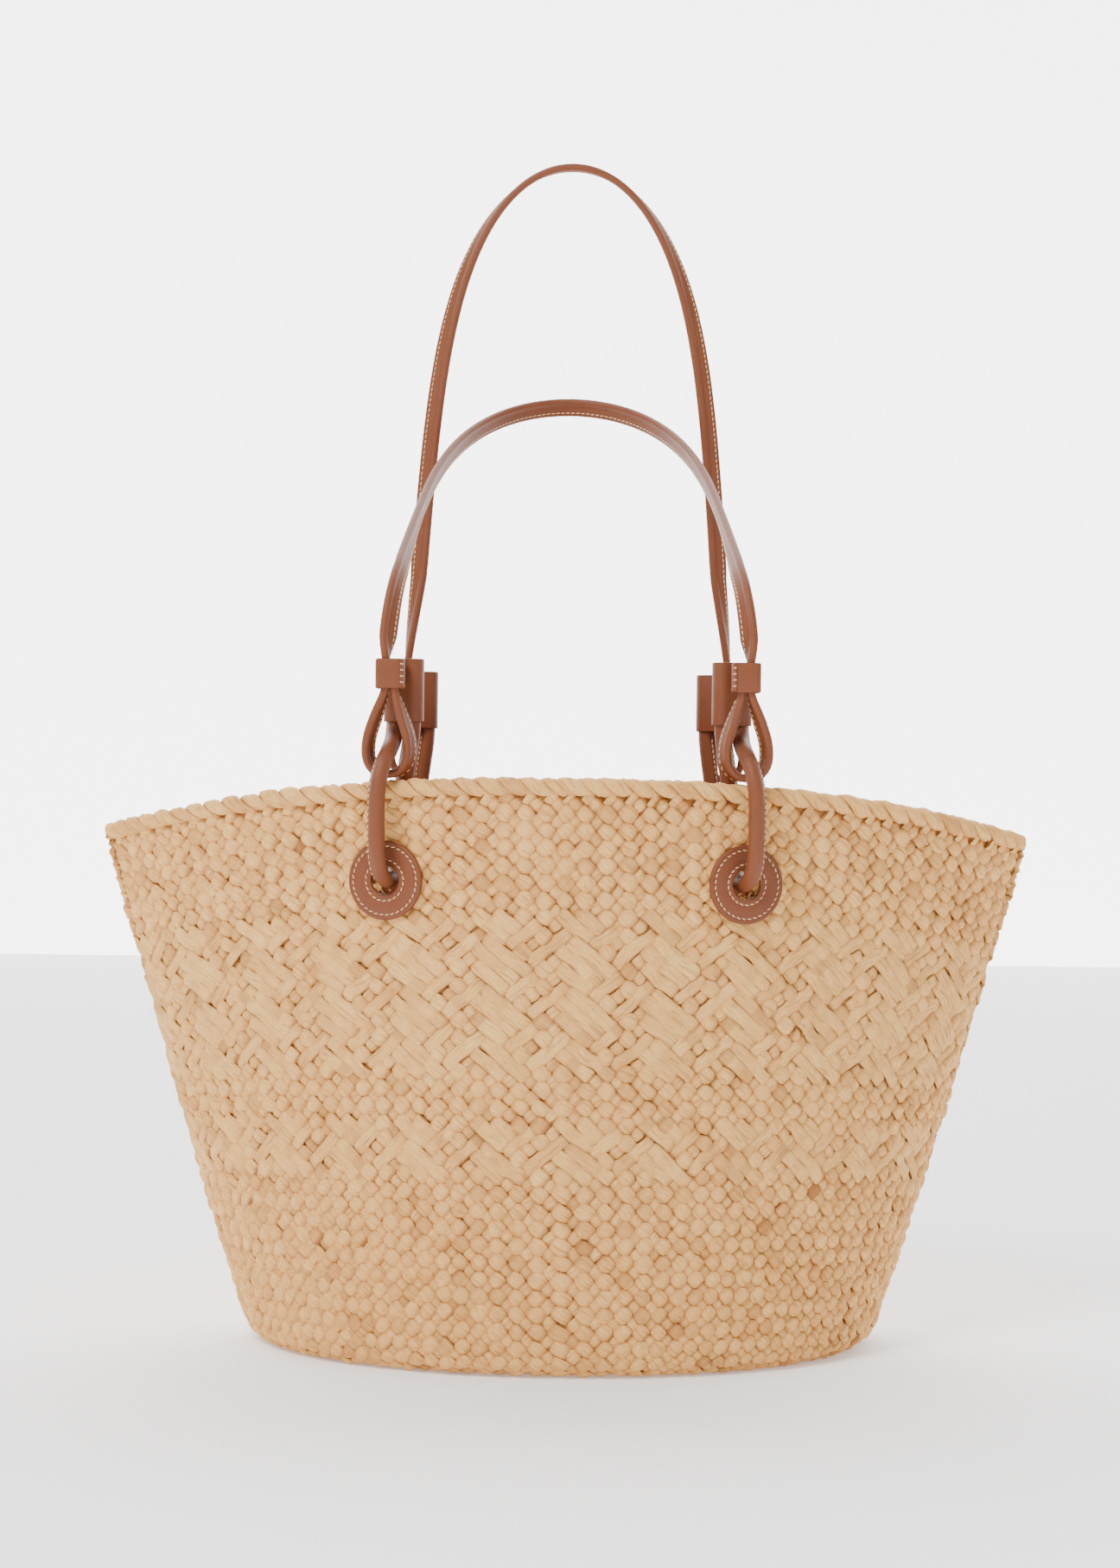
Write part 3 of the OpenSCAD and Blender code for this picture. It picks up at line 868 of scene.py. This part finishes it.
def strap_strip(face):
    """The whole strip of leather of one strap: loop, arch and loop."""
    s = sizes()
    fixing = Fixing(face, "right")
    x0, y0 = abs(fixing.place[0]) / MM, fixing.place[1] / MM
    inner = [(x0 - x, z) for x, z in LOOP_LEG]
    outer = [(x0 + x, z) for x, z in LOOP_LEG[::-1]]
    loop = inner + [(x0 + LOOP_FOOT[0], LOOP_FOOT[1])] + outer[:-1] + [(x0 + 2.2, KEEPER_TOP)]
    rise = [(x0 + 1.2, KEEPER_TOP + 14), (x0 - 0.6, KEEPER_TOP + 30)]
    arch = arch_points() + [0, KEEPER_TOP]
    half = curve(loop + rise + [tuple(p) for p in arch[:-1]], 6)
    half = np.vstack([half, arch[-1]])
    whole = np.vstack([half * [-1, 1], (half[-2::-1])])
    whole = even_steps(whole, 1.0)
    lean = s.lean if face == "front" else 0.0
    height = np.linspace(0, s.arch_height / MM, 800)
    share = np.clip(height / BEND_RUN, 0, 1)
    tilt = lean * share * share * (3 - 2 * share)
    step = height[1]
    back = np.concatenate([[0], np.cumsum(np.sin(tilt[1:]) * step)])
    up = np.concatenate([[0], np.cumsum(np.cos(tilt[1:]) * step)])
    u = whole[:, 1] - KEEPER_TOP
    y = y0 + np.interp(u, height, back)
    z = fixing.foot / MM + KEEPER_TOP + np.where(u < 0, u, np.interp(u, height, up))
    path = np.stack([whole[:, 0], y, z], -1) * MM
    run = run_of(path)
    path = even_steps(path, 0.0022)
    u = np.interp(np.linspace(0, run[-1], len(path)), run, u)
    a = np.interp(u, height, tilt)
    across = np.stack([np.zeros(len(u)), -np.cos(a), np.sin(a)], -1)
    if face == "front":
        turned = np.radians(LOOP_TURN) * np.clip((-u - 14) / 16, 0, 1)
        across = np.stack([np.sign(path[:, 0]) * np.sin(turned),
                           across[:, 1] * np.cos(turned), across[:, 2]], -1)
    f = np.clip(u / (s.arch_height / MM), 0, 1)
    if face == "back":
        twist = 65 * np.clip(f / 0.22, 0, 1) * (1 - f ** 5)
    else:
        twist = -48 * np.clip(u / 12, 0, 1) * (1 - np.clip((u - 22) / 110, 0, 1)) ** 1.4
    strip = Strip(path, across, twist)
    return strip, u, fixing


class BAG_OT_sew_straps(bpy.types.Operator):
    """Sew each strap with its loops round its cord, and let it bend above the keepers"""
    bl_idname = "bag.sew_straps"
    bl_label = "Sew the straps"

    def execute(self, context):
        s = sizes()
        half, bead = s.strap_width / 2 / MM, s.bead_diameter / 2 / MM
        middle_x = half - bead
        turn = np.radians(np.linspace(8, 142, 9))
        outer = mirrored_section([(middle_x + bead * math.cos(t), bead * math.sin(t)) for t in turn]
                                 + [(0.9, 1.05), (0.2, 1.2), (-1.4, 1.3), (-3.0, 1.3), (-4.6, 1.28),
                                    (-5.1, 0.95), (-half, 0.4)])
        inner = mirrored_section([(middle_x + 1.35 * math.cos(t), 1.35 * math.sin(t))
                                  for t in np.linspace(0.1, math.pi - 0.1, len(outer) // 2)])
        core = mirrored_section([(middle_x + 1.2 * math.cos(t), 1.2 * math.sin(t))
                                 for t in np.linspace(0.2, math.pi - 0.2, 5)])
        for face in FACES:
            strip, u, fixing = strap_strip(face)
            leather, cord, thread = Shell(), Shell(), Shell()
            leather.hollow(strip, outer, inner)
            cord.tube(strip.skin(core), strip.run)
            for side in (-1, 1):
                thread.stitches(strip, -0.0029, side * 0.00132, 0.018, strip.run[-1] - 0.018)
            loops = tuple(f"loop_{face}_{side}" for side in SIDES)
            for shell, label, material, slot, nodes in (
                    (leather, "leather", leather_material(), "leather", (f"strap_{face}", *loops)),
                    (cord, "cord", cotton_material(), "cord_core", (f"strap_core_{face}",)),
                    (thread, "stitches", thread_material(), "thread", ())):
                piece = shell.piece(f"strap_{face}_{label}", None, material, slot, nodes)
                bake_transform(piece)
        return {"FINISHED"}


# ---------------------------------------------------------------- materials
class Nodes:
    """Short-hand for building a material's nodes."""

    def __init__(self, name):
        self.material = bpy.data.materials.new(name)
        self.material.use_nodes = True
        self.tree = self.material.node_tree
        self.tree.nodes.clear()
        self.out = self.add("ShaderNodeOutputMaterial")
        self.shader = self.add("ShaderNodeBsdfPrincipled")
        self.link(self.shader.outputs["BSDF"], self.out.inputs["Surface"])

    def add(self, kind, **settings):
        node = self.tree.nodes.new(kind)
        for key, value in settings.items():
            setattr(node, key, value)
        return node

    def link(self, a, b):
        self.tree.links.new(a, b)

    def place(self, source, scale):
        if source == "uv":
            coord = self.add("ShaderNodeUVMap", uv_map="Along")
        else:
            coord = self.add("ShaderNodeTexCoord")
        mapping = self.add("ShaderNodeMapping")
        mapping.inputs["Scale"].default_value = scale
        self.link(coord.outputs["UV" if source == "uv" else "Object"], mapping.inputs["Vector"])
        return mapping.outputs["Vector"]

    def noise(self, vector, scale, detail=3.0, rough=0.55, distort=0.0):
        node = self.add("ShaderNodeTexNoise")
        for key, v in (("Scale", scale), ("Detail", detail), ("Roughness", rough), ("Distortion", distort)):
            node.inputs[key].default_value = v
        self.link(vector, node.inputs["Vector"])
        return node.outputs["Fac"]

    def ramp(self, factor, *stops):
        node = self.add("ShaderNodeValToRGB")
        elements = node.color_ramp.elements
        while len(elements) < len(stops):
            elements.new(0.5)
        for element, (at, colour) in zip(elements, stops):
            element.position = at
            element.color = (*colour, 1) if len(colour) == 3 else colour
        self.link(factor, node.inputs["Fac"])
        return node.outputs["Color"]

    def span(self, value, low, high, to_low=0.0, to_high=1.0):
        node = self.add("ShaderNodeMapRange", clamp=True)
        for key, v in (("From Min", low), ("From Max", high), ("To Min", to_low), ("To Max", to_high)):
            node.inputs[key].default_value = v
        self.link(value, node.inputs["Value"])
        return node.outputs["Result"]

    def mix(self, factor, a, b, kind="MIX"):
        node = self.add("ShaderNodeMix", data_type="RGBA", blend_type=kind)
        for socket, v in ((node.inputs[0], factor), (node.inputs[6], a), (node.inputs[7], b)):
            if isinstance(v, (int, float)):
                socket.default_value = v
            elif isinstance(v, tuple) or hasattr(v, "r"):
                socket.default_value = (*tuple(v)[:3], 1)
            else:
                self.link(v, socket)
        return node.outputs[2]

    def bump(self, height, strength, distance, under=None):
        node = self.add("ShaderNodeBump")
        node.inputs["Strength"].default_value = strength
        node.inputs["Distance"].default_value = distance
        self.link(height, node.inputs["Height"])
        if under is not None:
            self.link(under, node.inputs["Normal"])
        return node.outputs["Normal"]


def raffia_material():
    """Dry palm leaf: fine fibres along each strand, amber blotches and painted shade along its creases."""
    if "Raffia" in bpy.data.materials:
        return bpy.data.materials["Raffia"]
    k = Nodes("Raffia")
    light, dark = tuple(colours().raffia_light), tuple(colours().raffia_dark)
    fibre = k.noise(k.place("uv", (16.0, 0.9, 1.0)), 1.6, 4.0, 0.6, 0.25)
    crease = k.noise(k.place("uv", (5.0, 0.35, 1.0)), 1.3, 2.0, 0.5, 0.5)
    blotch = k.noise(k.place("object", (1.0, 1.0, 1.0)), 95.0, 2.0, 0.5)
    tone = k.add("ShaderNodeAttribute", attribute_name="Tone").outputs["Fac"]
    deep = tuple(v * 0.55 for v in dark)
    pale = tuple(min(1.0, v * 1.14 + 0.02) for v in light)
    middling = tuple(0.6 * a + 0.4 * b for a, b in zip(light, dark))
    deep = tuple(0.8 * v for v in dark)
    # Low Tone runs to the deep colour. On the wall it holds the painted shade of strands passing under,
    # besides random light and dark strands.
    base = k.ramp(tone, (0.0, deep), (0.3, middling), (0.55, light), (0.95, pale))
    streak = k.span(fibre, 0.42, 0.68, 0.0, 0.55)
    shade = k.mix(streak, base, dark)
    amber = (0.62, 0.27, 0.05)
    shade = k.mix(k.span(blotch, 0.60, 0.78, 0.0, 0.55), shade, amber)
    # Painted shade: thin lines along the creases that the crease bump dents, darkened towards the deep
    # colour.
    crease_shade = k.span(crease, 0.60, 0.64, 0.0, 0.45)
    shade = k.mix(crease_shade, shade, deep)
    k.link(shade, k.shader.inputs["Base Color"])
    rough = k.span(fibre, 0.3, 0.7, 0.60, 0.82)
    k.link(rough, k.shader.inputs["Roughness"])
    normal = k.bump(crease, 0.5, 0.0012)
    normal = k.bump(fibre, 0.8, 0.0006, normal)
    k.link(normal, k.shader.inputs["Normal"])
    k.shader.inputs["Specular IOR Level"].default_value = 0.35
    return k.material


def leather_material():
    """Smooth satin cognac leather with a fine grain and a slight patina."""
    if "Leather" in bpy.data.materials:
        return bpy.data.materials["Leather"]
    k = Nodes("Leather")
    tan, dark = tuple(colours().leather), tuple(colours().leather_dark)
    place = k.place("object", (1.0, 1.0, 1.0))
    patina = k.noise(place, 55.0, 3.0, 0.5)
    grain = k.noise(place, 1500.0, 2.0, 0.6)
    pores = k.add("ShaderNodeTexVoronoi", feature="DISTANCE_TO_EDGE")
    pores.inputs["Scale"].default_value = 1150.0
    k.link(place, pores.inputs["Vector"])
    aged = tuple(0.6 * a + 0.4 * b for a, b in zip(tan, dark))
    shade = k.mix(k.span(patina, 0.42, 0.72, 0.0, 0.34), tan, aged)
    shade = k.mix(k.span(pores.outputs["Distance"], 0.0, 0.10, 0.22, 0.0), shade, dark)
    k.link(shade, k.shader.inputs["Base Color"])
    k.link(k.span(grain, 0.3, 0.7, 0.44, 0.58), k.shader.inputs["Roughness"])
    normal = k.bump(k.span(pores.outputs["Distance"], 0.0, 0.18), 0.22, 0.00018)
    normal = k.bump(grain, 0.10, 0.0002, normal)
    k.link(normal, k.shader.inputs["Normal"])
    k.shader.inputs["Specular IOR Level"].default_value = 0.32
    return k.material


def thread_material():
    """Pale waxed thread with its twist."""
    if "Thread" in bpy.data.materials:
        return bpy.data.materials["Thread"]
    k = Nodes("Thread")
    thread = tuple(colours().thread)
    twist = k.noise(k.place("object", (1.0, 1.0, 1.0)), 2200.0, 2.0, 0.5)
    shade = k.mix(k.span(twist, 0.4, 0.7, 0.0, 0.45), thread, tuple(v * 0.62 for v in thread))
    k.link(shade, k.shader.inputs["Base Color"])
    k.link(k.bump(twist, 0.5, 0.0001), k.shader.inputs["Normal"])
    k.shader.inputs["Roughness"].default_value = 0.6
    return k.material


def cotton_material():
    """Undyed cotton cord."""
    if "Cotton" in bpy.data.materials:
        return bpy.data.materials["Cotton"]
    k = Nodes("Cotton")
    cotton = tuple(colours().cotton)
    strands = k.noise(k.place("object", (1.0, 1.0, 1.0)), 1300.0, 3.0, 0.6)
    k.link(k.mix(k.span(strands, 0.4, 0.7, 0.0, 0.4), cotton, tuple(v * 0.7 for v in cotton)),
           k.shader.inputs["Base Color"])
    k.link(k.bump(strands, 0.6, 0.0002), k.shader.inputs["Normal"])
    k.shader.inputs["Roughness"].default_value = 0.85
    return k.material


# ---------------------------------------------------------------- stage
class BAG_OT_set_stage(bpy.types.Operator):
    """Lay the floor, light it softly and place the camera"""
    bl_idname = "bag.set_stage"
    bl_label = "Set the stage"

    def execute(self, context):
        scene = context.scene
        bpy.ops.object.select_all(action="DESELECT")
        bpy.ops.mesh.primitive_plane_add(size=12, location=(0, 2.0, 0))
        floor = context.active_object
        floor.name = "floor"
        k = Nodes("Floor")
        k.shader.inputs["Base Color"].default_value = (0.93, 0.93, 0.93, 1)
        k.shader.inputs["Roughness"].default_value = 0.9
        k.shader.inputs["Emission Color"].default_value = (1, 1, 1, 1)
        k.shader.inputs["Emission Strength"].default_value = 0.3
        floor.data.materials.append(k.material)
        bpy.ops.mesh.primitive_plane_add(size=12, location=(0, 3.2, 5.9), rotation=(math.radians(90), 0, 0))
        backdrop = context.active_object
        backdrop.name = "backdrop"
        k = Nodes("Backdrop")
        k.shader.inputs["Base Color"].default_value = (0.95, 0.95, 0.95, 1)
        k.shader.inputs["Emission Color"].default_value = (1, 1, 1, 1)
        k.shader.inputs["Emission Strength"].default_value = 4.0
        backdrop.data.materials.append(k.material)
        world = bpy.data.worlds.new("Studio")
        scene.world = world
        world.use_nodes = True
        world.node_tree.nodes["Background"].inputs["Color"].default_value = (1, 1, 1, 1)
        world.node_tree.nodes["Background"].inputs["Strength"].default_value = 0.5
        for name, place, energy, size in (
                ("key", (-1.2, -1.7, 2.4), 88, 1.0), ("fill", (1.9, -1.6, 1.3), 9, 1.8),
                ("top", (0.0, 0.6, 2.6), 16, 1.8)):
            light = bpy.data.lights.new(name, "AREA")
            light.energy, light.size = energy, size
            lamp = bpy.data.objects.new(name, light)
            lamp.location = place
            aim = Vector((0, 0, 0.28)) - Vector(place)
            lamp.rotation_euler = aim.to_track_quat("-Z", "Y").to_euler()
            scene.collection.objects.link(lamp)
        camera_data = bpy.data.cameras.new("camera")
        camera_data.sensor_width = 36
        camera_data.lens = 64.1
        camera = bpy.data.objects.new("camera", camera_data)
        scene.collection.objects.link(camera)
        camera.location = (-0.0035, -1.5, 0.297)
        camera.rotation_mode = "XYZ"
        camera.rotation_euler = (math.radians(90), math.radians(-0.7), 0)
        scene.camera = camera
        return {"FINISHED"}


class BAG_PT_panel(bpy.types.Panel):
    """Lists the bag's steps, sizes and colours in the sidebar"""
    bl_label = "Basket Bag"
    bl_space_type = "VIEW_3D"
    bl_region_type = "UI"
    bl_category = "Basket Bag"

    def draw(self, context):
        for operator in OPERATORS:
            self.layout.operator(operator.bl_idname)
        for group in (context.scene.bag_sizes, context.scene.bag_colours):
            for name in group.bl_rna.properties.keys():
                if name not in ("rna_type", "name"):
                    self.layout.prop(group, name)


OPERATORS = (BAG_OT_plait_wall, BAG_OT_plait_base, BAG_OT_twist_edging, BAG_OT_sew_patches, BAG_OT_sew_links,
             BAG_OT_wrap_bands, BAG_OT_sew_straps, BAG_OT_set_stage)
CLASSES = (BagSizes, BagColours, *OPERATORS, BAG_PT_panel)


def register():
    for cls in CLASSES:
        bpy.utils.register_class(cls)
    bpy.types.Scene.bag_sizes = bpy.props.PointerProperty(type=BagSizes)
    bpy.types.Scene.bag_colours = bpy.props.PointerProperty(type=BagColours)


def unregister():
    del bpy.types.Scene.bag_colours
    del bpy.types.Scene.bag_sizes
    for cls in reversed(CLASSES):
        bpy.utils.unregister_class(cls)


def main():
    register()
    for operator in OPERATORS:
        group, name = operator.bl_idname.split(".")
        getattr(getattr(bpy.ops, group), name)()


if __name__ == "__main__":
    main()
